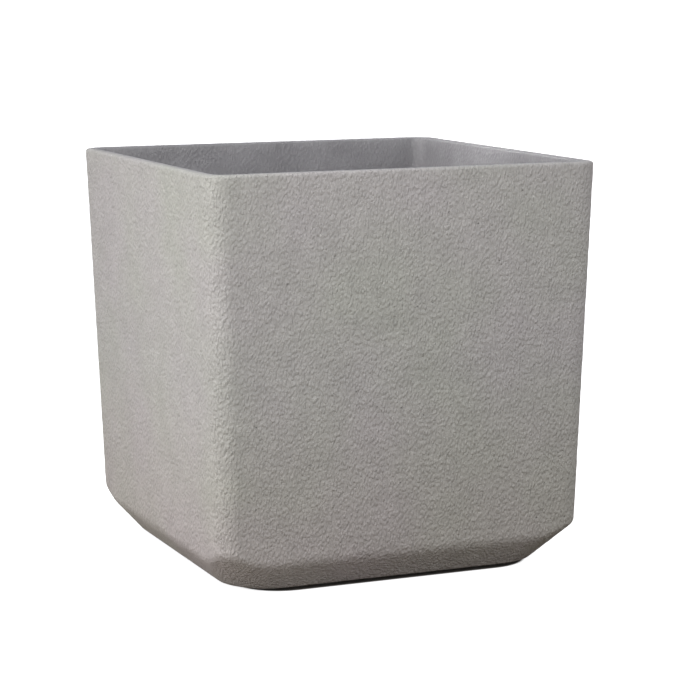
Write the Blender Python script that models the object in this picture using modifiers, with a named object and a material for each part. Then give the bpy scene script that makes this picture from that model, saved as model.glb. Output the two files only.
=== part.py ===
"""Square tapered planter: one moulded stone-look shell, a rubber drain plug and four push-in feet.

Metres, +Z up. The origin is on the ground under the centre of the base. The front is -Y.
"""

from math import atan2, cos, hypot, pi, sin, sqrt, tan

import bmesh
import bpy

GAP = 0.0003                    # clearance between pieces that rest on or sit in each other

# Shell
TOP_WIDTH = 0.400               # outer width at the rim, before its edges are rounded
HEIGHT = 0.400                  # ground to rim, feet included
FOOT_LIFT = 0.004               # height of the underside above the ground
CHAMFER_TOP_WIDTH = 0.377       # outer width where the walls meet the chamfer
CHAMFER_HEIGHT = 0.028
BASE_WIDTH = 0.330              # outer width of the flat underside
WALL = 0.012                    # thickness of the walls and the chamfer, square to the surface
FLOOR_THICKNESS = 0.016
OUTER_CORNER = 0.021            # plan radius of the walls' vertical corners
INNER_CORNER = 0.014            # the same inside
CHAMFER_CORNER = 0.050          # plan radius of the chamfer's corners, which cut higher up the walls' corners
SOFTNESS = 0.004                # how far the walls and the chamfer melt into each other
UNDERSIDE_ROUND = 0.002         # fillet between the underside and the chamfer
RIM_ROUND = 0.003               # fillets on both edges of the rim
FLOOR_ROUND = 0.008             # fillet between the floor and the inner chamfer
CORNER_STEPS = 6                # segments in each rounded corner in plan
FILLET_STEPS = 3                # segments in each fillet up the section
BLEND_STEPS = 8                 # levels through the stretch where chamfer and wall meet
BLEND_TOP = 0.024               # how far above the chamfer that stretch ends

# Drain hole and plug: the plug's flange lies in a recess, level with the floor
HOLE_RADIUS = 0.011
RECESS_CLEARANCE = 0.0005
PLUG_STEM_RADIUS = HOLE_RADIUS - GAP
PLUG_TIP_RADIUS = 0.0085
PLUG_FLANGE_RADIUS = 0.018
PLUG_FLANGE_HEIGHT = 0.003
PLUG_LIP_ROUND = 0.001          # rounding of the flange's top edge
PLUG_NECK_RADIUS = 0.0045
PLUG_NECK_FLARE = 0.0005        # height over which the neck widens into the knob
PLUG_KNOB_RADIUS = 0.008
PLUG_KNOB_ROUND = 0.0025
PLUG_KNOB_HEIGHT = 0.009        # from the floor to the knob's top

# Feet: a disc under the base, with a stem in a blind socket
FOOT_RADIUS = 0.016
FOOT_ROUND = 0.0012
FOOT_INSET = 0.045              # from the underside's edge to the foot's centre
SOCKET_RADIUS = 0.006
SOCKET_DEPTH = 0.009
STEM_RADIUS = SOCKET_RADIUS - GAP
STEM_HEIGHT = SOCKET_DEPTH - 2 * GAP

ROUND_STEPS = 32                # segments in a full circle, on turned pieces and holes
ARC_STEPS = 3                   # segments in a quarter circle of a turned profile

FLOOR_Z = FOOT_LIFT + FLOOR_THICKNESS
CHAMFER_Z = FOOT_LIFT + CHAMFER_HEIGHT
WALL_SLOPE = (TOP_WIDTH - CHAMFER_TOP_WIDTH) / 2 / (HEIGHT - CHAMFER_Z)     # outward per metre up
CHAMFER_SLOPE = (CHAMFER_TOP_WIDTH - BASE_WIDTH) / 2 / CHAMFER_HEIGHT


def clear_scene():
    """Removes what the scene holds, so that the model is all there is."""
    for ob in list(bpy.data.objects):
        bpy.data.objects.remove(ob, do_unlink=True)


def new_collection(name):
    """Makes a collection in the scene."""
    collection = bpy.data.collections.new(name)
    bpy.context.scene.collection.children.link(collection)
    return collection


def make_material(name, colour, roughness, metallic=0.0):
    """One plain Principled material."""
    material = bpy.data.materials.new(name)
    material.use_nodes = True
    shader = material.node_tree.nodes["Principled BSDF"]
    shader.inputs["Base Color"].default_value = (*colour, 1.0)
    shader.inputs["Roughness"].default_value = roughness
    shader.inputs["Metallic"].default_value = metallic
    return material


def new_object(name, mesh, collection, material=None):
    """Puts a mesh in the scene as an object."""
    ob = bpy.data.objects.new(name, mesh)
    collection.objects.link(ob)
    if material:
        mesh.materials.append(material)
    return ob


def square_radius(half, corner, angle):
    """Distance from the axis to the side of a square with rounded corners, in the direction of an angle."""
    folded = angle % (pi / 2)
    folded = min(folded, pi / 2 - folded)
    if half * tan(folded) <= half - corner:
        return half / cos(folded)
    to_centre = sqrt(2) * (half - corner)
    off_diagonal = pi / 4 - folded
    return to_centre * cos(off_diagonal) + sqrt(corner**2 - (to_centre * sin(off_diagonal)) ** 2)


def smooth_least(a, b, softness):
    """The lesser of two lengths, eased where they are within softness of each other."""
    share = min(max(0.5 + 0.5 * (b - a) / softness, 0.0), 1.0)
    return b * (1 - share) + a * share - softness * share * (1 - share)


def surface_radius(angle, z, inset, depth, wall_corner, chamfer_corner):
    """Distance from the axis to the surface at a depth inside the outer one, less an inset."""
    wall_half = CHAMFER_TOP_WIDTH / 2 + (z - CHAMFER_Z) * WALL_SLOPE - depth * hypot(1, WALL_SLOPE)
    chamfer_half = BASE_WIDTH / 2 + (z - FOOT_LIFT) * CHAMFER_SLOPE - depth * hypot(1, CHAMFER_SLOPE)
    wall = square_radius(wall_half - inset, wall_corner, angle)
    chamfer = square_radius(chamfer_half - inset, chamfer_corner, angle)
    return smooth_least(wall, chamfer, SOFTNESS)


def outer_radius(angle, z, inset):
    """Distance from the axis to the outer surface."""
    return surface_radius(angle, z, inset, 0.0, OUTER_CORNER, CHAMFER_CORNER)


def inner_radius(angle, z, inset):
    """Distance from the axis to the inner surface."""
    return surface_radius(angle, z, inset, WALL, INNER_CORNER, CHAMFER_CORNER - WALL)


def edge_levels(radius, turn):
    """Fillet between a flat face and a side that leaves it at an angle: (height off the face, inset)."""
    for i in range(FILLET_STEPS + 1):
        bend = turn * i / FILLET_STEPS
        rise = radius * (1 - cos(bend))
        yield rise, rise / tan(turn) + radius * tan(turn / 2) - radius * sin(bend)


def blend_levels(low, high):
    """Heights through the stretch where the chamfer melts into the wall, bottom to top."""
    return [low + (high - low) * i / BLEND_STEPS for i in range(1, BLEND_STEPS + 1)]


def ring_directions():
    """Angles at which every ring has a point: those of a wall's corner arc and of a chamfer's."""
    corner_angles = set()
    for half, corner in ((TOP_WIDTH / 2, OUTER_CORNER), (BASE_WIDTH / 2, CHAMFER_CORNER)):
        for i in range(CORNER_STEPS + 1):
            turn = i / CORNER_STEPS * pi / 2
            y = half - corner + corner * sin(turn)
            x = half - corner + corner * cos(turn)
            corner_angles.add(round(atan2(y, x), 6))
    return [quarter * pi / 2 + angle for quarter in range(4) for angle in sorted(corner_angles)]


def shell_rings():
    """The shell's rings, each (surface, z, inset): up the outside, over the rim and down to the floor."""
    flare = atan2(1, CHAMFER_SLOPE)
    blend_top = CHAMFER_Z + BLEND_TOP
    underside = list(edge_levels(UNDERSIDE_ROUND, flare))
    floor = list(edge_levels(FLOOR_ROUND, flare))
    rim = list(edge_levels(RIM_ROUND, pi / 2))
    rings = [(outer_radius, FOOT_LIFT + rise, inset) for rise, inset in underside]
    rings += [(outer_radius, z, 0.0) for z in blend_levels(FOOT_LIFT + CHAMFER_HEIGHT / 2, blend_top)]
    rings += [(outer_radius, HEIGHT - rise, inset) for rise, inset in reversed(rim)]
    rings += [(inner_radius, HEIGHT - rise, -inset) for rise, inset in rim]
    rings += [(inner_radius, z, 0.0) for z in reversed(blend_levels(FLOOR_Z + floor[-1][0], blend_top))]
    rings += [(inner_radius, FLOOR_Z + rise, inset) for rise, inset in reversed(floor)]
    return rings


def loft(name, rings, directions):
    """A closed mesh through the rings, with a flat face on the first and on the last."""
    bm = bmesh.new()
    loops = []
    for surface, z, inset in rings:
        loop = []
        for angle in directions:
            radius = surface(angle, z, inset)
            loop.append(bm.verts.new((radius * cos(angle), radius * sin(angle), z)))
        loops.append(loop)
    for lower, upper in zip(loops, loops[1:]):
        for i in range(len(directions)):
            j = (i + 1) % len(directions)
            bm.faces.new((lower[i], lower[j], upper[j], upper[i]))
    bm.faces.new(reversed(loops[0]))
    bm.faces.new(loops[-1])
    mesh = bpy.data.meshes.new(name)
    bm.to_mesh(mesh)
    bm.free()
    mesh.shade_smooth()
    mesh.set_sharp_from_angle(angle=pi / 5)
    return mesh


def cutter_cylinder(name, radius, low, high, x, y, collection):
    """A round cutter that stands from low to high."""
    bm = bmesh.new()
    bmesh.ops.create_cone(
        bm, cap_ends=True, segments=ROUND_STEPS, radius1=radius, radius2=radius, depth=high - low
    )
    mesh = bpy.data.meshes.new(name)
    bm.to_mesh(mesh)
    bm.free()
    ob = new_object(name, mesh, collection)
    ob.location = (x, y, (low + high) / 2)
    ob.display_type = "WIRE"
    ob.hide_render = True
    return ob


def cut(ob, cutter):
    """Takes the cutter's shape out of the object."""
    modifier = ob.modifiers.new(cutter.name, "BOOLEAN")
    modifier.operation = "DIFFERENCE"
    modifier.object = cutter


def turned(name, profile, location, collection, material):
    """A solid of revolution about its own Z, from (radius, z) points that run top to bottom."""
    bm = bmesh.new()
    verts = [bm.verts.new((radius, 0.0, z)) for radius, z in profile]
    for upper, lower in zip(verts, verts[1:]):
        bm.edges.new((upper, lower))
    mesh = bpy.data.meshes.new(name)
    bm.to_mesh(mesh)
    bm.free()
    ob = new_object(name, mesh, collection, material)
    ob.location = location
    screw = ob.modifiers.new("turn", "SCREW")
    screw.axis = "Z"
    screw.angle = 2 * pi
    screw.steps = ROUND_STEPS
    screw.render_steps = ROUND_STEPS
    screw.use_merge_vertices = True
    screw.merge_threshold = 0.0001
    screw.use_smooth_shade = True
    return ob


def arc(centre_r, centre_z, radius, first, last):
    """Points (radius, z) along an arc of a turned profile, angles in quarter turns from outward to up."""
    steps = ARC_STEPS * abs(last - first)
    angles = [(first + (last - first) * i / steps) * pi / 2 for i in range(steps + 1)]
    return [(centre_r + radius * cos(a), centre_z + radius * sin(a)) for a in angles]


def foot_places():
    """The four feet: name and centre."""
    offset = BASE_WIDTH / 2 - FOOT_INSET
    for side_y, front in ((-1, "front"), (1, "rear")):
        for side_x, side in ((-1, "left"), (1, "right")):
            yield f"foot_{front}_{side}", side_x * offset, side_y * offset


def make_shell(collection, cutters, material):
    """The moulded shell, with the recessed drain hole through its base and a socket for each foot."""
    mesh = loft("planter_shell", shell_rings(), ring_directions())
    ob = new_object("planter_shell", mesh, collection, material)
    above_floor = FLOOR_Z + FOOT_LIFT
    recess_z = FLOOR_Z - PLUG_FLANGE_HEIGHT - GAP
    recess_radius = PLUG_FLANGE_RADIUS + RECESS_CLEARANCE
    socket_top = FOOT_LIFT + SOCKET_DEPTH
    cut(ob, cutter_cylinder("drain_cutter", HOLE_RADIUS, 0.0, above_floor, 0.0, 0.0, cutters))
    cut(ob, cutter_cylinder("recess_cutter", recess_radius, recess_z, above_floor, 0.0, 0.0, cutters))
    for name, x, y in foot_places():
        cut(ob, cutter_cylinder(f"{name}_socket_cutter", SOCKET_RADIUS, 0.0, socket_top, x, y, cutters))


def make_plug(collection, material):
    """The drain plug: a knob on a neck, a flange and a tapered stem. Its origin is level with the floor."""
    knob_rim = PLUG_KNOB_RADIUS - PLUG_KNOB_ROUND
    knob_centre = PLUG_KNOB_HEIGHT - PLUG_KNOB_ROUND
    knob_bottom = PLUG_KNOB_HEIGHT - 2 * PLUG_KNOB_ROUND
    profile = [(0.0, PLUG_KNOB_HEIGHT)]
    profile += arc(knob_rim, knob_centre, PLUG_KNOB_ROUND, 1, -1)
    profile += [(PLUG_NECK_RADIUS, knob_bottom - PLUG_NECK_FLARE)]
    profile += [(PLUG_NECK_RADIUS, 0.0)]
    profile += arc(PLUG_FLANGE_RADIUS - PLUG_LIP_ROUND, -PLUG_LIP_ROUND, PLUG_LIP_ROUND, 1, 0)
    profile += [(PLUG_FLANGE_RADIUS, -PLUG_FLANGE_HEIGHT)]
    profile += [(PLUG_STEM_RADIUS, -PLUG_FLANGE_HEIGHT)]
    profile += [(PLUG_TIP_RADIUS, GAP - FLOOR_THICKNESS)]
    profile += [(0.0, GAP - FLOOR_THICKNESS)]
    turned("drain_plug", profile, (0.0, 0.0, FLOOR_Z), collection, material)


def make_feet(collection, material):
    """Four rubber feet. Each one's origin is on the ground, under its centre."""
    disc_top = FOOT_LIFT - GAP
    profile = [(0.0, disc_top + STEM_HEIGHT)]
    profile += [(STEM_RADIUS, disc_top + STEM_HEIGHT)]
    profile += [(STEM_RADIUS, disc_top)]
    profile += arc(FOOT_RADIUS - FOOT_ROUND, disc_top - FOOT_ROUND, FOOT_ROUND, 1, 0)
    profile += arc(FOOT_RADIUS - FOOT_ROUND, FOOT_ROUND, FOOT_ROUND, 0, -1)
    profile += [(0.0, 0.0)]
    for name, x, y in foot_places():
        turned(name, profile, (x, y, 0.0), collection, material)


def build():
    """Makes the whole planter."""
    clear_scene()
    parts = new_collection("square_planter")
    cutters = new_collection("cutters")
    stone = make_material("stone_composite", (0.33, 0.32, 0.31), 0.9)
    rubber = make_material("black_rubber", (0.03, 0.03, 0.03), 0.75)
    make_shell(parts, cutters, stone)
    make_plug(parts, rubber)
    make_feet(parts, rubber)


build()
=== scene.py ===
"""Looks for the square stone-look planter: a grained moulded shell, a rubber drain plug and four
rubber feet, on a pale floor under soft studio light.

Metres, +Z up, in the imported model's frame: the ground is z = 0 and the front is -Y.
"""

from math import atan2, ceil, cos, hypot, pi, radians, sin, tan

import bmesh
import bpy
import numpy as np
from mathutils import Matrix, Vector, noise
from mathutils.geometry import delaunay_2d_cdt


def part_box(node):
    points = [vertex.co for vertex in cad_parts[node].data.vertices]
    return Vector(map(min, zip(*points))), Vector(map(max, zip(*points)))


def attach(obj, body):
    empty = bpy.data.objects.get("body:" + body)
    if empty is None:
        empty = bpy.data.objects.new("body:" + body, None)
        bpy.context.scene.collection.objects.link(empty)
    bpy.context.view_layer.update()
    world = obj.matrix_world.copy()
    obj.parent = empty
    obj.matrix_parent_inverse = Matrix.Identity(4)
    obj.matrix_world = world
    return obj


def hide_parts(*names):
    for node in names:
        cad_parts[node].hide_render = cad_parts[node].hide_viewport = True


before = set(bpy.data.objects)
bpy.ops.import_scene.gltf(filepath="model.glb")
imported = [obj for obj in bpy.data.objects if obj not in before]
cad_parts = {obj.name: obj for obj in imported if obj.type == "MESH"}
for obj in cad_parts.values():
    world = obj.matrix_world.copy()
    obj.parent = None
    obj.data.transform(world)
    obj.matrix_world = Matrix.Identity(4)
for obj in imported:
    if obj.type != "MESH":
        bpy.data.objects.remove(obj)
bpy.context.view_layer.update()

# Sizes read from the frame
SHELL_LOW, SHELL_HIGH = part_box("planter_shell")
PLUG_LOW, PLUG_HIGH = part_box("drain_plug")
FOOT_NODES = ["foot_front_left", "foot_front_right", "foot_rear_left", "foot_rear_right"]
FEET = [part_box(node) for node in FOOT_NODES]
RIM_Z = SHELL_HIGH.z
BASE_Z = SHELL_LOW.z

# Shell sizes that the CAD model's shape has
GAP = 0.0003                    # clearance between pieces
TOP_WIDTH = 0.400
CHAMFER_TOP_WIDTH = 0.377
CHAMFER_HEIGHT = 0.028
BASE_WIDTH = 0.330
WALL = 0.012
FLOOR_THICKNESS = 0.016
OUTER_CORNER = 0.021
INNER_CORNER = 0.014
CHAMFER_CORNER = 0.050
SOFTNESS = 0.004                # blend between walls and chamfer, inside
OUTER_SOFTNESS = 0.0055         # and outside
UNDERSIDE_ROUND = 0.002
RIM_ROUND = 0.003
FLOOR_ROUND = 0.008
HOLE_RADIUS = 0.011
RECESS_CLEARANCE = 0.0005
PLUG_FLANGE_HEIGHT = 0.003
PLUG_FLANGE_ROUND = 0.001
PLUG_TIP_RADIUS = 0.0085
KNOB_RADIUS = 0.008
KNOB_ROUND = 0.0025
KNOB_FLARE = 0.0005             # height over which the knob narrows to its neck
NECK_RADIUS = 0.0045
SOCKET_RADIUS = 0.006
SOCKET_DEPTH = 0.009
FOOT_ROUND = 0.0012
HOLE_EDGE_ROUND = 0.0006        # softening of the edges of the holes

FLOOR_Z = BASE_Z + FLOOR_THICKNESS
CHAMFER_Z = BASE_Z + CHAMFER_HEIGHT
WALL_SLOPE = (TOP_WIDTH - CHAMFER_TOP_WIDTH) / 2 / (RIM_Z - CHAMFER_Z)
CHAMFER_SLOPE = (CHAMFER_TOP_WIDTH - BASE_WIDTH) / 2 / CHAMFER_HEIGHT
FLARE = atan2(1, CHAMFER_SLOPE)  # turn between the underside and the chamfer
PLUG_RADIUS = PLUG_HIGH.x
RECESS_RADIUS = PLUG_RADIUS + RECESS_CLEARANCE

# Mesh fineness
OUTER_STEP = 0.0030             # spacing of points on the outside
EDGE_STEP = 0.0018              # spacing of rings over the chamfer and its blend into the walls
BLEND_HEIGHT = 0.016            # how far up the walls those rings go
INNER_STEP = 0.0070             # spacing of rings on the inside
FLAT_STEP = 0.008               # spacing of points on the floor and the underside
FILLET_STEPS = 5
HOLE_STEPS = 64

# Grain
GRAIN_DEPTH = 0.0009            # deepest hollow of the outer grain
GRAIN_CELL = 0.0060             # size of its coarse bumps
GRAIN_FINE_CELL = 0.0036        # and of its fine ones
GRAIN_COARSE_SHARE = 0.16
GRAIN_FINE_SHARE = 0.30
GRAIN_INSIDE = 0.3              # how strong the moulded grain is inside, next to outside
GRAIN_UNDER = 0.2               # and on the underside
SMOOTH_PAD = (0.018, 0.022)     # round each foot the underside is smooth: from and to this radius
GRAIN_BUMP = 0.0021             # height of the finest grain, which the material adds
GRAIN_ROUNDING = 0.22           # 0 for sharp edges between the grains, 1 for very soft
GRAIN_STRETCH = 1.70            # how much longer the grain is up the walls than across

# Colours
PURPLE_TINT = (0.521, 0.496, 0.502)  # the outside drifts from this
GREEN_TINT = (0.500, 0.499, 0.469)   # to this
# painted shade: the inside is shown darker and cooler than the outside
INSIDE_PAINTED_SHADE = (0.274, 0.266, 0.280)
GROUND_BOUNCE_TINT = (1.0, 0.952, 0.935)    # painted warm floor bounce and shade: what the outside is multiplied by at the ground
GROUND_BOUNCE_HEIGHT = 0.2                  # and the height where that has faded out
SPECK_COLOUR = (0.86, 0.85, 0.82)
# painted shade in the small pits
PIT_SHADE_COLOUR = (0.20, 0.19, 0.18)
PLUG_COLOUR = (0.035, 0.035, 0.036)
FOOT_COLOUR = (0.022, 0.022, 0.023)

# Studio
LIGHT_COLOUR = (1.0, 0.99, 0.97)
LIGHTS = [  # name, place, target, width, height, power, spread in degrees
    ("key_low", (-0.80, -0.22, 0.12), (-0.2, -0.1, 0.15), 0.35, 0.2, 0.88, 180.0),
    ("key_high", (-0.80, -0.18, 1.0), (-0.15, -0.15, 0.3), 0.4, 0.4, 4.1, 180.0),
    ("inside", (-0.12, 0.15, 0.64), (0.19, 0.0, 0.33), 0.06, 0.06, 0.17, 70.0),
    ("front", (-0.13, -0.70, 0.60), (0.0, -0.2, 0.3), 0.4, 0.4, 0.85, 180.0),
]
SKY_STRENGTH = 0.965
SKY_STOPS = [(0.0, (1.0, 1.0, 1.0)), (0.2, (0.96, 0.97, 0.98)),
             (0.7, (0.62, 0.63, 0.65)), (1.0, (0.40, 0.41, 0.43))]
BACKDROP_STRENGTH = 1.2
FLOOR_SIZE = 60.0
FLOOR_NEAR = (0.15, 0.12, 0.085)     # what the floor sends back from close to the planter
FLOOR_FAR = (0.52, 0.49, 0.44)       # and from far off
SHADE_CENTRE = (0.22, -0.32, 0.0)    # middle of the floor's dim part
SHADE_REACH = (0.30, 0.75)           # it is dim to the first distance and pale from the second
GAP_SHADE = ((0.0035, 0.1545), (-0.002, 0.162))  # painted shade of the dark gap: its middle and half width in X and Y
GAP_SHADE_COLOUR = (0.22, 0.205, 0.19)
FLOOR_GLOW = 0.9

# Camera
CAMERA_PLACE = (-0.89622, -2.16819, 0.57505)
CAMERA_TURN = (22.944, 9.072, -0.207)  # degrees to the right of +Y, down, and of roll
CAMERA_LENS = 120.115
CAMERA_SENSOR = 36.0


def square_radius(half, corner, angle):
    """Distance from the axis to the side of a square with rounded corners, along each angle."""
    folded = angle % (pi / 2)
    folded = np.minimum(folded, pi / 2 - folded)
    to_centre = np.sqrt(2) * (half - corner)
    off_diagonal = pi / 4 - folded
    inside_root = np.maximum(corner**2 - (to_centre * np.sin(off_diagonal)) ** 2, 0.0)
    rounded = to_centre * np.cos(off_diagonal) + np.sqrt(inside_root)
    return np.where(half * np.tan(folded) <= half - corner, half / np.cos(folded), rounded)


def smooth_least(a, b, softness):
    """The lesser of two lengths, eased where they are within softness of each other."""
    share = np.clip(0.5 + 0.5 * (b - a) / softness, 0.0, 1.0)
    return b * (1 - share) + a * share - softness * share * (1 - share)


def surface_radius(angle, z, inset, depth, wall_corner, chamfer_corner, softness):
    """Distance from the axis to the surface at a depth inside the outer one, less an inset."""
    wall_half = CHAMFER_TOP_WIDTH / 2 + (z - CHAMFER_Z) * WALL_SLOPE - depth * hypot(1, WALL_SLOPE)
    chamfer_half = BASE_WIDTH / 2 + (z - BASE_Z) * CHAMFER_SLOPE - depth * hypot(1, CHAMFER_SLOPE)
    wall = square_radius(wall_half - inset, wall_corner, angle)
    chamfer = square_radius(chamfer_half - inset, chamfer_corner, angle)
    return smooth_least(wall, chamfer, softness)


def outer_radius(angle, z, inset):
    """Distance from the axis to the outer surface."""
    return surface_radius(angle, z, inset, 0.0, OUTER_CORNER, CHAMFER_CORNER, OUTER_SOFTNESS)


def inner_radius(angle, z, inset):
    """Distance from the axis to the inner surface."""
    return surface_radius(angle, z, inset, WALL, INNER_CORNER, CHAMFER_CORNER - WALL, SOFTNESS)


def edge_levels(radius, turn):
    """Fillet between a flat face and a side at an angle to it: (height off the face, inset)."""
    for i in range(FILLET_STEPS + 1):
        bend = turn * i / FILLET_STEPS
        rise = radius * (1 - cos(bend))
        yield rise, rise / tan(turn) + radius * tan(turn / 2) - radius * sin(bend)


def levels(low, high, step):
    """Heights between two levels, both left out, about a step apart."""
    count = max(ceil((high - low) / step), 1)
    return [low + (high - low) * i / count for i in range(1, count)]


def ring_directions():
    """Angles of points evenly spaced round the outside at half height."""
    half = (TOP_WIDTH + CHAMFER_TOP_WIDTH) / 4
    straight = half - OUTER_CORNER
    eighth = straight + OUTER_CORNER * pi / 4
    count = round(eighth / OUTER_STEP)
    angles = []
    for i in range(count):
        along = eighth * i / count
        if along <= straight:
            angles.append(atan2(along, half))
        else:
            turn = (along - straight) / OUTER_CORNER
            y = straight + OUTER_CORNER * sin(turn)
            angles.append(atan2(y, straight + OUTER_CORNER * cos(turn)))
    mirrored = [pi / 2 - angle for angle in reversed(angles[1:])]
    quarter = angles + [pi / 4] + mirrored
    return np.array([turn * pi / 2 + angle for turn in range(4) for angle in quarter])


def shell_rings():
    """The shell's rings, each (surface, z, inset): those up the outside and over the rim, and
    those down the inside."""
    underside = list(edge_levels(UNDERSIDE_ROUND, FLARE))
    floor = list(edge_levels(FLOOR_ROUND, FLARE))
    rim = list(edge_levels(RIM_ROUND, pi / 2))
    blend_z = CHAMFER_Z + BLEND_HEIGHT
    outer_low = BASE_Z + underside[-1][0]
    inner_low = FLOOR_Z + floor[-1][0]
    fillet_z = RIM_Z - RIM_ROUND
    rings = [(outer_radius, BASE_Z + rise, inset) for rise, inset in underside]
    rings += [(outer_radius, z, 0.0) for z in levels(outer_low, blend_z, EDGE_STEP)]
    rings += [(outer_radius, z, 0.0) for z in levels(blend_z - EDGE_STEP, fillet_z, OUTER_STEP)]
    rings += [(outer_radius, RIM_Z - rise, inset) for rise, inset in reversed(rim)]
    rings += [(inner_radius, RIM_Z - rise, -inset) for rise, inset in rim]
    inner = [(inner_radius, z, 0.0) for z in reversed(levels(CHAMFER_Z, fillet_z, INNER_STEP))]
    chamfer_levels = levels(inner_low, CHAMFER_Z, INNER_STEP / 2)
    inner += [(inner_radius, z, 0.0) for z in reversed(chamfer_levels)]
    inner += [(inner_radius, FLOOR_Z + rise, inset) for rise, inset in reversed(floor)]
    return rings, inner


def add_ring(bm, points):
    """Adds a loop of points."""
    return [bm.verts.new(point) for point in points]


def bridge(bm, lower, upper):
    """Quads between two loops of equal length."""
    for i in range(len(lower)):
        j = (i + 1) % len(lower)
        bm.faces.new((lower[i], lower[j], upper[j], upper[i]))


def circle(radius, z, x=0.0, y=0.0):
    """Points of a horizontal circle, counterclockwise from above."""
    turns = [2 * pi * i / HOLE_STEPS for i in range(HOLE_STEPS)]
    return [(x + radius * cos(turn), y + radius * sin(turn), z) for turn in turns]


def spread_points(half, keep_out):
    """Points of a staggered grid over a flat face, clear of keep_out's (x, y, radius) circles."""
    rows = int(half / FLAT_STEP)
    for row in range(-rows, rows + 1):
        shift = FLAT_STEP / 2 if row % 2 else 0.0
        for column in range(-rows, rows + 1):
            x = column * FLAT_STEP + shift
            y = row * FLAT_STEP
            if abs(x) < half and all(hypot(x - cx, y - cy) > r for cx, cy, r in keep_out):
                yield x, y


def fill_flat(bm, outline, holes, faces_up):
    """Triangles over a flat face between an outline and round holes, all loops of points.

    A triangle with all its corners on one hole's loop lies in that hole and is left out.
    """
    z = outline[0].co.z
    verts = list(outline)
    edges = [(i, (i + 1) % len(outline)) for i in range(len(outline))]
    hole_of = [None] * len(outline)
    keep_out = []
    for number, hole in enumerate(holes):
        first = len(verts)
        verts += hole
        hole_of += [number] * len(hole)
        edges += [(first + i, first + (i + 1) % len(hole)) for i in range(len(hole))]
        centre = sum((vert.co for vert in hole), Vector()) / len(hole)
        keep_out.append((centre.x, centre.y, (hole[0].co - centre).length + FLAT_STEP / 2))
    half = max(vert.co.x for vert in outline) - FLAT_STEP
    corner = CHAMFER_CORNER - FLAT_STEP
    for x, y in spread_points(half, keep_out):
        if hypot(x, y) < square_radius(half, corner, atan2(y, x)):
            verts.append(bm.verts.new((x, y, z)))
            hole_of.append(None)
    flat = [vert.co.to_2d() for vert in verts]
    for triangle in delaunay_2d_cdt(flat, edges, [], 1, 1e-6)[2]:
        holes_met = {hole_of[i] for i in triangle}
        if holes_met == {None} or len(holes_met) > 1:
            bm.faces.new([verts[i] for i in (triangle if faces_up else reversed(triangle))])


def bridge_to_half(bm, full, half):
    """Faces between a loop and one that has every second point of it."""
    for i in range(len(half)):
        j = (i + 1) % len(half)
        middle = full[2 * i + 1]
        bm.faces.new((full[2 * i], middle, half[i]))
        bm.faces.new((middle, half[j], half[i]))
        bm.faces.new((middle, full[2 * j], half[j]))


def loft(bm, rings, directions):
    """Lofted rings. Gives the first and the last loop."""
    loops = []
    for surface, z, inset in rings:
        radius = surface(directions, z, inset)
        points = np.stack([radius * np.cos(directions), radius * np.sin(directions)], 1)
        loops.append(add_ring(bm, [(x, y, z) for x, y in points]))
    for lower, upper in zip(loops, loops[1:]):
        bridge(bm, lower, upper)
    return loops[0], loops[-1]


def drain_hole(bm):
    """The recessed drain hole's wall. Gives its loop in the floor and its loop in the underside."""
    edge = HOLE_EDGE_ROUND
    recess_z = FLOOR_Z - PLUG_FLANGE_HEIGHT - GAP
    profile = []
    for i in range(FILLET_STEPS + 1):
        turn = pi / 2 * i / FILLET_STEPS
        profile.append((RECESS_RADIUS + edge * (1 - sin(turn)), FLOOR_Z - edge * (1 - cos(turn))))
    profile += [(RECESS_RADIUS, recess_z), (HOLE_RADIUS, recess_z)]
    profile += [(HOLE_RADIUS, BASE_Z + edge), (HOLE_RADIUS + edge, BASE_Z)]
    loops = [add_ring(bm, circle(radius, z)) for radius, z in profile]
    for upper, lower in zip(loops, loops[1:]):
        bridge(bm, lower, upper)
    return loops[0], loops[-1]


def foot_socket(bm, x, y):
    """A blind socket for a foot's stem. Gives its loop in the underside."""
    mouth = add_ring(bm, circle(SOCKET_RADIUS, BASE_Z, x, y))
    end = add_ring(bm, circle(SOCKET_RADIUS, BASE_Z + SOCKET_DEPTH, x, y))
    bridge(bm, mouth, end)
    bm.faces.new(reversed(end))
    return mouth


def shell_mesh():
    """The shell's smooth form as one closed mesh."""
    bm = bmesh.new()
    directions = ring_directions()
    outer_rings, inner_rings = shell_rings()
    bottom, rim_edge = loft(bm, outer_rings, directions)
    inner_top, floor_edge = loft(bm, inner_rings, directions[::2])
    bridge_to_half(bm, rim_edge, inner_top)
    recess, outlet = drain_hole(bm)
    sockets = [foot_socket(bm, (low.x + high.x) / 2, (low.y + high.y) / 2) for low, high in FEET]
    fill_flat(bm, floor_edge, [recess], True)
    fill_flat(bm, bottom, [outlet] + sockets, False)
    bmesh.ops.recalc_face_normals(bm, faces=bm.faces)
    mesh = bpy.data.meshes.new("shell")
    bm.to_mesh(mesh)
    bm.free()
    mesh.shade_smooth()
    return mesh


def points_of(mesh):
    """The mesh's points and their normals, as arrays."""
    places = np.empty(len(mesh.vertices) * 3)
    mesh.vertices.foreach_get("co", places)
    normals = np.empty(len(mesh.vertices) * 3)
    mesh.vertices.foreach_get("normal", normals)
    return places.reshape(-1, 3), normals.reshape(-1, 3)


def ease(values, low, high):
    """0 below low, 1 above high and a smooth step between."""
    share = np.clip((values - low) / (high - low), 0.0, 1.0)
    return share * share * (3 - 2 * share)


def store(mesh, name, values):
    """Keeps a number for each point, for the materials."""
    mesh.attributes.new(name, "FLOAT", "POINT").data.foreach_set("value", values.astype(np.float32))


def grain_height(place):
    """Height of the moulded grain at a place, about 0 to 1."""
    place = Vector((place.x, place.y, place.z / GRAIN_STRETCH))
    coarse = noise.noise(place / GRAIN_CELL)
    fine = noise.noise(place / GRAIN_FINE_CELL + Vector((31.7, 5.1, 12.9)))
    return 0.5 + GRAIN_COARSE_SHARE * coarse + GRAIN_FINE_SHARE * fine


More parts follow.
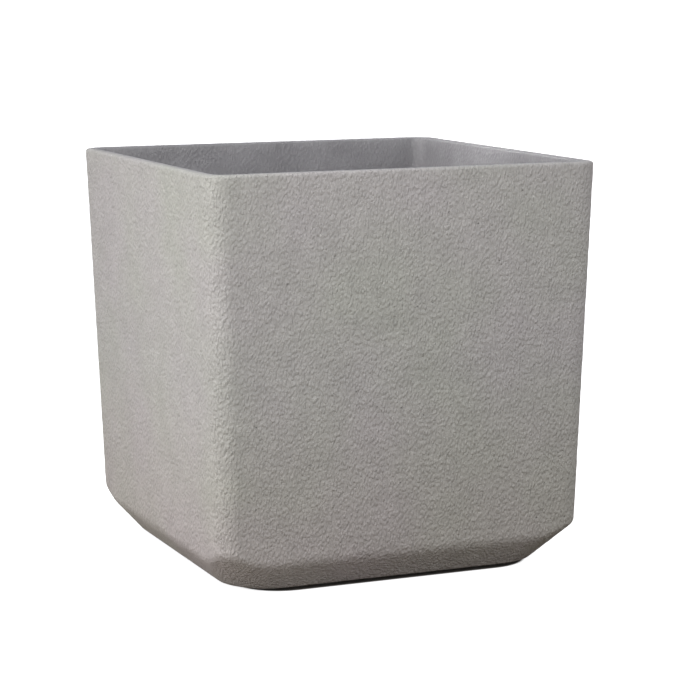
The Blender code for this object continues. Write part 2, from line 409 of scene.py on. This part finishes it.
def add_grain(mesh):
    """Sinks the smooth form's points into the moulded grain, and stores for the material where
    the inside is and how high the grain is."""
    places, normals = points_of(mesh)
    heights = places[:, 2]
    angles = np.arctan2(places[:, 1], places[:, 0])
    reach = np.hypot(places[:, 0], places[:, 1])
    mid_wall = (outer_radius(angles, heights, 0.0) + inner_radius(angles, heights, 0.0)) / 2
    inside = ease(mid_wall - reach, -0.002, 0.004) * ease(heights, FLOOR_Z - 0.001, FLOOR_Z)
    height = np.array([grain_height(Vector(place)) for place in places])
    height = np.clip(height, 0.0, 1.0)
    flat_down = ease(-normals[:, 2], 0.9, 0.99)
    strength = (1 - (1 - GRAIN_INSIDE) * inside) * (1 - (1 - GRAIN_UNDER) * flat_down)
    strength *= ease(reach, RECESS_RADIUS + 0.001, RECESS_RADIUS + 0.01)
    for low, high in FEET:
        x, y = (low.x + high.x) / 2, (low.y + high.y) / 2
        beside = np.hypot(places[:, 0] - x, places[:, 1] - y)
        underneath = (heights < FLOOR_Z - 0.002) & (normals[:, 2] < -0.5)
        strength *= np.where(underneath, ease(beside, *SMOOTH_PAD), 1.0)
    moved = places - normals * ((1 - height) * GRAIN_DEPTH * strength)[:, None]
    mesh.vertices.foreach_set("co", moved.ravel())
    mesh.update()
    store(mesh, "inside", inside)
    store(mesh, "height", height * strength + (1 - strength) * 0.5)


def new_piece(name, mesh, material, body, node):
    """A visible piece that stands for a CAD node."""
    mesh.materials.append(material)
    piece = bpy.data.objects.new(name, mesh)
    bpy.context.scene.collection.objects.link(piece)
    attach(piece, body)
    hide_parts(node)


class Nodes:
    """Short ways to add nodes to a material. Each way gives the new node's output."""

    def __init__(self, name):
        self.material = bpy.data.materials.new(name)
        self.material.use_nodes = True
        self.tree = self.material.node_tree
        self.shader = self.tree.nodes["Principled BSDF"]
        self.place = self.add("ShaderNodeTexCoord").outputs["Object"]
        stretch = self.add("ShaderNodeVectorMath", operation="MULTIPLY")
        stretch.inputs[1].default_value = (1.0, 1.0, 1 / GRAIN_STRETCH)
        self.link(self.place, stretch.inputs[0])
        self.stretched = stretch.outputs[0]

    def add(self, kind, **settings):
        """A new node, with its settings."""
        node = self.tree.nodes.new(kind)
        for key, value in settings.items():
            setattr(node, key, value)
        return node

    def link(self, source, target):
        self.tree.links.new(source, target)

    def attribute(self, name):
        """A number stored on the mesh's points."""
        return self.add("ShaderNodeAttribute", attribute_name=name).outputs["Fac"]

    def shifted(self, place, offset):
        """A place moved by an offset."""
        shift = self.add("ShaderNodeVectorMath", operation="ADD")
        shift.inputs[1].default_value = offset
        self.link(place, shift.inputs[0])
        return shift.outputs[0]

    def noise(self, scale, detail=2.0, roughness=0.5, offset=(0, 0, 0), place=None):
        """Noise of a scale, per metre, 0 to 1."""
        node = self.add("ShaderNodeTexNoise")
        self.link(self.shifted(place or self.place, offset), node.inputs["Vector"])
        node.inputs["Scale"].default_value = scale
        node.inputs["Detail"].default_value = detail
        node.inputs["Roughness"].default_value = roughness
        return node.outputs["Fac"]

    def spots(self, scale, share, size, offset):
        """1 in the middle of sparse round spots, 0 elsewhere: share of the cells that have one."""
        cells = self.add("ShaderNodeTexVoronoi", feature="F1")
        cells.inputs["Scale"].default_value = scale
        self.link(self.shifted(self.place, offset), cells.inputs["Vector"])
        pick = self.add("ShaderNodeSeparateColor")
        self.link(cells.outputs["Color"], pick.inputs[0])
        chosen = self.math("LESS_THAN", pick.outputs[0], share)
        near = self.remap(cells.outputs["Distance"], size, size * 0.4, 0.0, 1.0)
        return self.math("MULTIPLY", chosen, near)

    def grains(self, scale, offset=(0, 0, 0)):
        """Rounded grains packed side by side: 1 at their tops, 0 in the hollows between."""
        cells = self.add("ShaderNodeTexVoronoi", feature="SMOOTH_F1")
        cells.inputs["Scale"].default_value = scale
        cells.inputs["Smoothness"].default_value = GRAIN_ROUNDING
        self.link(self.shifted(self.stretched, offset), cells.inputs["Vector"])
        return self.remap(cells.outputs["Distance"], 0.1, 0.7, 1.0, 0.0)

    def sand(self, scale, offset=(0, 0, 0)):
        """A number from 0 to 1 for each grain of sand."""
        cells = self.add("ShaderNodeTexVoronoi", feature="F1")
        cells.inputs["Scale"].default_value = scale
        self.link(self.shifted(self.place, offset), cells.inputs["Vector"])
        pick = self.add("ShaderNodeSeparateColor")
        self.link(cells.outputs["Color"], pick.inputs[0])
        return pick.outputs[1]

    def math(self, operation, a, b=0.0):
        """The result of an operation on two values, each a number or a socket."""
        node = self.add("ShaderNodeMath", operation=operation)
        for socket, value in zip(node.inputs, (a, b)):
            if isinstance(value, (int, float)):
                socket.default_value = value
            else:
                self.link(value, socket)
        return node.outputs[0]

    def remap(self, value, from_low, from_high, to_low, to_high):
        """A value stretched from one range to another, and kept within it."""
        node = self.add("ShaderNodeMapRange")
        self.link(value, node.inputs["Value"])
        for key, number in zip(("From Min", "From Max", "To Min", "To Max"),
                               (from_low, from_high, to_low, to_high)):
            node.inputs[key].default_value = number
        return node.outputs["Result"]

    def mix(self, share, a, b, blend="MIX"):
        """Mix of two colours, each a tuple or a socket."""
        node = self.add("ShaderNodeMix", data_type="RGBA", blend_type=blend)
        colour_inputs = [s for s in node.inputs if s.type == "RGBA"]
        factor = next(s for s in node.inputs if s.type == "VALUE")
        if isinstance(share, (int, float)):
            factor.default_value = share
        else:
            self.link(share, factor)
        for socket, value in zip(colour_inputs, (a, b)):
            if isinstance(value, tuple):
                socket.default_value = (*value, 1.0)
            else:
                self.link(value, socket)
        return next(s for s in node.outputs if s.type == "RGBA")

    def bump(self, height, distance, strength):
        """A normal for a surface of a height, 0 to 1, over a distance."""
        node = self.add("ShaderNodeBump")
        node.inputs["Strength"].default_value = strength
        node.inputs["Distance"].default_value = distance
        self.link(height, node.inputs["Height"])
        return node.outputs["Normal"]


def stone_tint(m, inside, height):
    """The stone's colour without its grain: slow drifts, painted warm bounce light and shade at the
    ground, painted shade inside.
    """
    drift = m.remap(m.noise(7.0, 2.0), 0.35, 0.65, 0.0, 1.0)
    tint = m.mix(drift, PURPLE_TINT, GREEN_TINT)
    # painted shade over the inside of the shell
    tint = m.mix(inside, tint, INSIDE_PAINTED_SHADE)
    # painted warm bounce light and shade from the floor, strongest at the ground
    low = m.remap(height, 0.0, GROUND_BOUNCE_HEIGHT, 1.0, 0.0)
    ground_bounce = m.math("MULTIPLY", low, m.remap(inside, 0.0, 1.0, 1.0, 0.0))
    return m.mix(ground_bounce, tint, m.mix(1.0, tint, GROUND_BOUNCE_TINT, "MULTIPLY"))


def stone_shade(m, inside, height, packed):
    """How light the stone is: mottle, painted shade and dust in the hollows, single grains, a
    painted highlight on the rim top, clouds inside.
    """
    mottle = m.remap(m.noise(45.0, 3.0, offset=(4, 0, 1)), 0.3, 0.7, 0.955, 1.045)
    # painted shade in the hollows between the grains, with some dust
    hollow_shade_and_dust = m.remap(packed, 0.2, 0.9, 0.95, 1.04)
    # painted shade and dust: the displaced grain's hollows darker, its tops lighter
    grain_shade_and_dust = m.remap(m.attribute("height"), 0.2, 0.8, 0.97, 1.03)
    # painted highlight: the top of the rim is made lighter
    rim_highlight = m.remap(height, RIM_Z - RIM_ROUND, RIM_Z - 0.0005, 1.0, 1.05)
    sand = m.remap(m.sand(480.0, (0.4, 0.6, 0.1)), 0.0, 1.0, 0.95, 1.05)
    clouds = m.remap(m.noise(22.0, 3.0, offset=(6, 2, 5)), 0.3, 0.7, 0.88, 1.12)
    shade = m.math("MULTIPLY", m.math("MULTIPLY", mottle, hollow_shade_and_dust), m.math("MULTIPLY", grain_shade_and_dust, rim_highlight))
    shade = m.math("MULTIPLY", shade, sand)
    return m.mix(inside, shade, m.math("MULTIPLY", shade, clouds))


def stone_material():
    """Light grey cast composite: sandy grain, slow drifts of tint, bright specks, small pits with
    painted shade in them.
    """
    m = Nodes("stone_composite")
    inside = m.attribute("inside")
    split = m.add("ShaderNodeSeparateXYZ")
    m.link(m.place, split.inputs[0])
    height = split.outputs["Z"]
    fine = m.remap(m.noise(520.0, 1.5, 0.8, (1, 2, 3), m.stretched), 0.2, 0.8, 0.0, 1.0)
    packed = m.grains(400.0, (3, 1, 2))
    grain = m.math("ADD", m.math("MULTIPLY", packed, 0.5), m.math("MULTIPLY", fine, 0.5))
    shade = stone_shade(m, inside, height, packed)
    grey = m.add("ShaderNodeCombineColor")
    for socket in grey.inputs:
        m.link(shade, socket)
    colour = m.mix(1.0, stone_tint(m, inside, height), grey.outputs[0], "MULTIPLY")
    specks = m.math("MULTIPLY", m.spots(110.0, 0.07, 0.15, (0.2, 0.1, 0.3)), 0.5)
    fainter_inside = m.remap(inside, 0.0, 1.0, 1.0, 0.2)
    colour = m.mix(m.math("MULTIPLY", specks, fainter_inside), colour, SPECK_COLOUR)
    pits = m.spots(130.0, 0.06, 0.13, (0.7, 0.4, 0.9))
    # painted shade darkens the pits
    colour = m.mix(m.math("MULTIPLY", pits, 0.5), colour, PIT_SHADE_COLOUR)
    m.link(colour, m.shader.inputs["Base Color"])
    rough = m.remap(m.noise(300.0, 2.0), 0.3, 0.7, 0.84, 0.97)
    rough = m.math("MULTIPLY", rough, m.remap(inside, 0.0, 1.0, 1.0, 0.55))
    m.link(rough, m.shader.inputs["Roughness"])
    m.link(m.remap(inside, 0.0, 1.0, 0.3, 1.0), m.shader.inputs["Specular IOR Level"])
    grainy = m.math("MULTIPLY", grain, m.remap(inside, 0.0, 1.0, 1.0, 0.3))
    raised = m.math("SUBTRACT", grainy, m.math("MULTIPLY", pits, 0.6))
    m.link(m.bump(raised, GRAIN_BUMP, 1.0), m.shader.inputs["Normal"])
    return m.material


def rubber_material(name, colour):
    """Matt moulded rubber with a fine bloom and dust."""
    m = Nodes(name)
    bloom = m.remap(m.noise(260.0, 3.0), 0.35, 0.7, 0.0, 1.0)
    dusty = tuple(min(c * 1.9 + 0.01, 1.0) for c in colour)
    m.link(m.mix(bloom, colour, dusty), m.shader.inputs["Base Color"])
    m.link(m.remap(m.noise(500.0, 2.0), 0.3, 0.7, 0.6, 0.85), m.shader.inputs["Roughness"])
    m.link(m.bump(m.noise(1400.0, 2.0), 0.0002, 0.4), m.shader.inputs["Normal"])
    return m.material


def make_shell():
    """The shell piece."""
    mesh = shell_mesh()
    add_grain(mesh)
    new_piece("shell_body", mesh, stone_material(), "shell", "planter_shell")


def turned_mesh(name, profile, x, y):
    """A solid turned about a vertical line, from (radius, z) points that run top to bottom."""
    bm = bmesh.new()
    top = bm.verts.new((x, y, profile[0][1]))
    loops = [add_ring(bm, circle(radius, z, x, y)) for radius, z in profile[1:-1]]
    bottom = bm.verts.new((x, y, profile[-1][1]))
    for i in range(HOLE_STEPS):
        j = (i + 1) % HOLE_STEPS
        bm.faces.new((top, loops[0][i], loops[0][j]))
        bm.faces.new((bottom, loops[-1][j], loops[-1][i]))
    for upper, lower in zip(loops, loops[1:]):
        bridge(bm, lower, upper)
    mesh = bpy.data.meshes.new(name)
    bm.to_mesh(mesh)
    bm.free()
    mesh.shade_smooth()
    mesh.set_sharp_from_angle(angle=pi / 4)
    return mesh


def arc(centre_r, centre_z, radius, first, last):
    """Points (radius, z) along an arc, angles in quarter turns from outward to up."""
    steps = FILLET_STEPS * abs(last - first)
    angles = [(first + (last - first) * i / steps) * pi / 2 for i in range(steps + 1)]
    return [(centre_r + radius * cos(a), centre_z + radius * sin(a)) for a in angles]


def make_plug():
    """The drain plug."""
    top, bottom = PLUG_HIGH.z, PLUG_LOW.z
    neck_z = top - 2 * KNOB_ROUND - KNOB_FLARE
    lip = PLUG_FLANGE_ROUND
    profile = [(0.0, top)]
    profile += arc(KNOB_RADIUS - KNOB_ROUND, top - KNOB_ROUND, KNOB_ROUND, 1, -1)
    profile += [(NECK_RADIUS, neck_z), (NECK_RADIUS, FLOOR_Z)]
    profile += arc(PLUG_RADIUS - lip, FLOOR_Z - lip, lip, 1, 0)
    profile += [(PLUG_RADIUS, FLOOR_Z - PLUG_FLANGE_HEIGHT)]
    profile += [(HOLE_RADIUS - GAP, FLOOR_Z - PLUG_FLANGE_HEIGHT)]
    profile += [(PLUG_TIP_RADIUS, bottom), (0.0, bottom)]
    mesh = turned_mesh("plug", profile, 0.0, 0.0)
    rubber = rubber_material("plug_rubber", PLUG_COLOUR)
    new_piece("plug_body", mesh, rubber, "plug", "drain_plug")


def make_feet():
    """The four feet."""
    rubber = rubber_material("foot_rubber", FOOT_COLOUR)
    for node, (low, high) in zip(FOOT_NODES, FEET):
        x, y = (low.x + high.x) / 2, (low.y + high.y) / 2
        radius = (high.x - low.x) / 2
        disc_top = BASE_Z - GAP
        profile = [(0.0, high.z), (SOCKET_RADIUS - GAP, high.z), (SOCKET_RADIUS - GAP, disc_top)]
        profile += arc(radius - FOOT_ROUND, disc_top - FOOT_ROUND, FOOT_ROUND, 1, 0)
        profile += arc(radius - FOOT_ROUND, low.z + FOOT_ROUND, FOOT_ROUND, 0, -1)
        profile += [(0.0, low.z)]
        mesh = turned_mesh(node, profile, x, y)
        new_piece(node + "_body", mesh, rubber, "shell", node)


def make_floor():
    """A pale floor, shown white to the camera. A dark patch of painted shade under the base stands
    for the dark gap there, and the light that the floor sends back up is dimmer from close by."""
    bpy.ops.mesh.primitive_plane_add(size=FLOOR_SIZE)
    floor = bpy.context.object
    floor.name = "studio_floor"
    m = Nodes("floor")
    path = m.add("ShaderNodeLightPath")
    camera_ray = path.outputs["Is Camera Ray"]
    away = m.add("ShaderNodeVectorMath", operation="DISTANCE")
    away.inputs[1].default_value = SHADE_CENTRE
    m.link(m.place, away.inputs[0])
    bounce = m.mix(m.remap(away.outputs["Value"], *SHADE_REACH, 0.0, 1.0), FLOOR_NEAR, FLOOR_FAR)
    split = m.add("ShaderNodeSeparateXYZ")
    m.link(m.place, split.inputs[0])
    past = []
    for axis, (middle, half) in zip(("X", "Y"), GAP_SHADE):
        aside = m.math("ABSOLUTE", m.math("SUBTRACT", split.outputs[axis], middle))
        beyond = m.math("MAXIMUM", m.math("SUBTRACT", aside, half - CHAMFER_CORNER), 0.0)
        past.append(m.math("MULTIPLY", beyond, beyond))
    reach = m.math("SQRT", m.math("ADD", *past))
    clear = m.remap(reach, CHAMFER_CORNER - 0.002, CHAMFER_CORNER + 0.001, 0.0, 1.0)
    pale = m.mix(m.noise(3.0), (0.90, 0.90, 0.90), (0.92, 0.92, 0.92))
    # painted shade in the gap under the base
    seen = m.mix(clear, GAP_SHADE_COLOUR, pale)
    m.link(m.mix(camera_ray, bounce, seen), m.shader.inputs["Base Color"])
    glow = m.math("MULTIPLY", m.math("MULTIPLY", camera_ray, clear), FLOOR_GLOW)
    m.shader.inputs["Emission Color"].default_value = (1.0, 1.0, 1.0, 1.0)
    m.link(glow, m.shader.inputs["Emission Strength"])
    m.shader.inputs["Roughness"].default_value = 1.0
    m.shader.inputs["Specular IOR Level"].default_value = 0.0
    floor.data.materials.append(m.material)


def make_world():
    """A studio brightest near the horizon all round, and dimmer overhead. The camera sees a white
    backdrop in its place."""
    world = bpy.data.worlds.new("studio")
    bpy.context.scene.world = world
    world.use_nodes = True
    nodes, links = world.node_tree.nodes, world.node_tree.links
    background = nodes["Background"]
    where = nodes.new("ShaderNodeTexCoord")
    split = nodes.new("ShaderNodeSeparateXYZ")
    links.new(where.outputs["Generated"], split.inputs[0])
    ramp_node = nodes.new("ShaderNodeValToRGB")
    ramp = ramp_node.color_ramp
    for position, colour in SKY_STOPS[1:-1]:
        ramp.elements.new(position)
    for element, (position, colour) in zip(ramp.elements, SKY_STOPS):
        element.position = position
        element.color = (*colour, 1.0)
    links.new(split.outputs["Z"], ramp_node.inputs["Fac"])
    links.new(ramp_node.outputs["Color"], background.inputs["Color"])
    background.inputs["Strength"].default_value = SKY_STRENGTH
    white = nodes.new("ShaderNodeBackground")
    white.inputs["Color"].default_value = (1.0, 1.0, 1.0, 1.0)
    white.inputs["Strength"].default_value = BACKDROP_STRENGTH
    path = nodes.new("ShaderNodeLightPath")
    mix = nodes.new("ShaderNodeMixShader")
    links.new(path.outputs["Is Camera Ray"], mix.inputs["Fac"])
    links.new(background.outputs[0], mix.inputs[1])
    links.new(white.outputs[0], mix.inputs[2])
    links.new(mix.outputs[0], nodes["World Output"].inputs["Surface"])


def area_light(name, place, target, width, height, power, spread):
    """A soft light at a place, facing a target."""
    light = bpy.data.lights.new(name, "AREA")
    light.shape = "RECTANGLE"
    light.size = width
    light.size_y = height
    light.energy = power
    light.spread = radians(spread)
    light.color = LIGHT_COLOUR
    ob = bpy.data.objects.new(name, light)
    bpy.context.scene.collection.objects.link(ob)
    ob.location = place
    ob.visible_camera = False
    ob.rotation_euler = (Vector(target) - Vector(place)).to_track_quat("-Z", "Y").to_euler()


def make_lights():
    """Soft lights: a low one on the left, which reaches the chamfer, a high one above it, a narrow
    one over the open top, which reaches the inner right wall, and one in front."""
    for row in LIGHTS:
        area_light(*row)


def make_camera():
    """A long lens, a little above the rim, turned to the front left corner."""
    yaw, pitch, roll = (radians(angle) for angle in CAMERA_TURN)
    data = bpy.data.cameras.new("camera")
    data.sensor_width = CAMERA_SENSOR
    data.lens = CAMERA_LENS
    camera = bpy.data.objects.new("camera", data)
    bpy.context.scene.collection.objects.link(camera)
    turn = Matrix.Rotation(-yaw, 4, "Z") @ Matrix.Rotation(pi / 2 - pitch, 4, "X")
    turn = turn @ Matrix.Rotation(roll, 4, "Z")
    camera.matrix_world = Matrix.Translation(CAMERA_PLACE) @ turn
    bpy.context.scene.camera = camera


make_camera()
make_world()
make_lights()
make_floor()
make_shell()
make_plug()
make_feet()
bpy.context.scene.view_settings.view_transform = "Standard"
